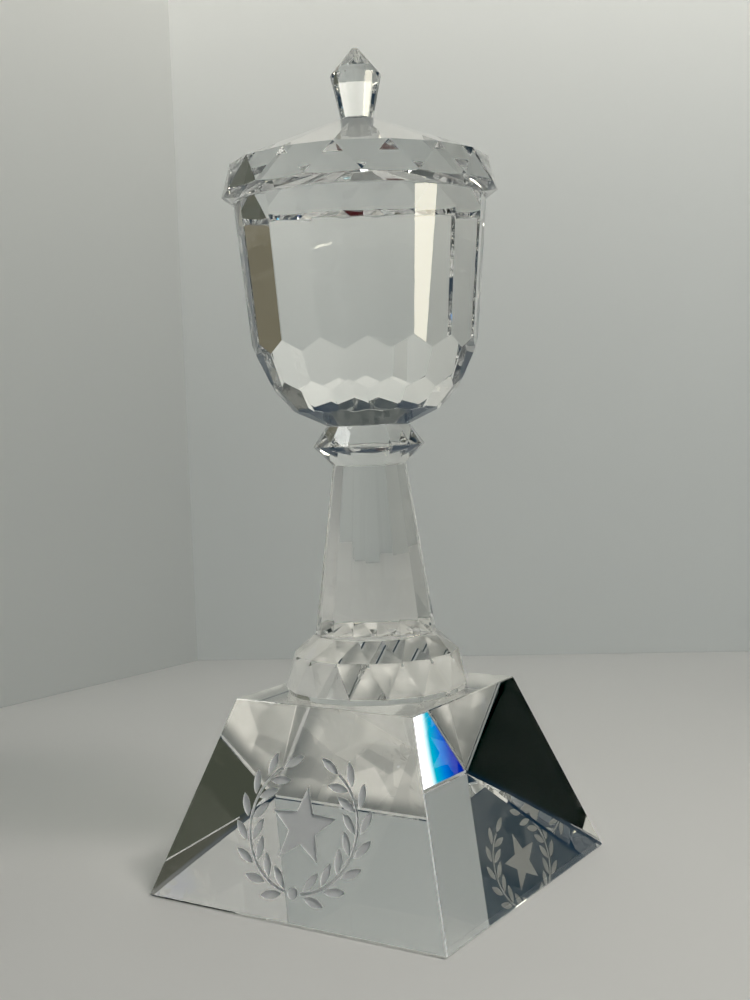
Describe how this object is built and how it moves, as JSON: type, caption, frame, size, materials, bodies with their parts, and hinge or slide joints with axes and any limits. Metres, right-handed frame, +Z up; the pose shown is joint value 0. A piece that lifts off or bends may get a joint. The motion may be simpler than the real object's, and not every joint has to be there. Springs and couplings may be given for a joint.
{
  "type": "crystal award",
  "caption": "Clear faceted glass goblet with a domed lid and pointed finial, on a stem and a tapered square base with an engraved wreath.",
  "frame": {"origin": "centre of the square underside of the base", "axes": "+Z up through the cup's axis and out of the finial; the engraved face of the base looks along -Y"},
  "size_m": [0.1036, 0.1036, 0.2544],
  "materials": {
    "base_glass": "polished clear optical glass, slightly grey-green; sand-blasted frosted engraving",
    "cup_glass": "polished clear optical glass with crisp ground facets",
    "adhesive": "cured clear adhesive film, faintly warm at its edge"
  },
  "bodies": {
    "root": {"base": "base_glass", "foot": "cup_glass", "stem": "cup_glass", "knop": "cup_glass", "bowl": "cup_glass", "lid": "cup_glass", "finial": "cup_glass", "foot_bond": "adhesive", "stem_bond": "adhesive", "knop_bond": "adhesive", "bowl_bond": "adhesive", "lid_bond": "adhesive", "finial_bond": "adhesive"}
  },
  "joints": []
}
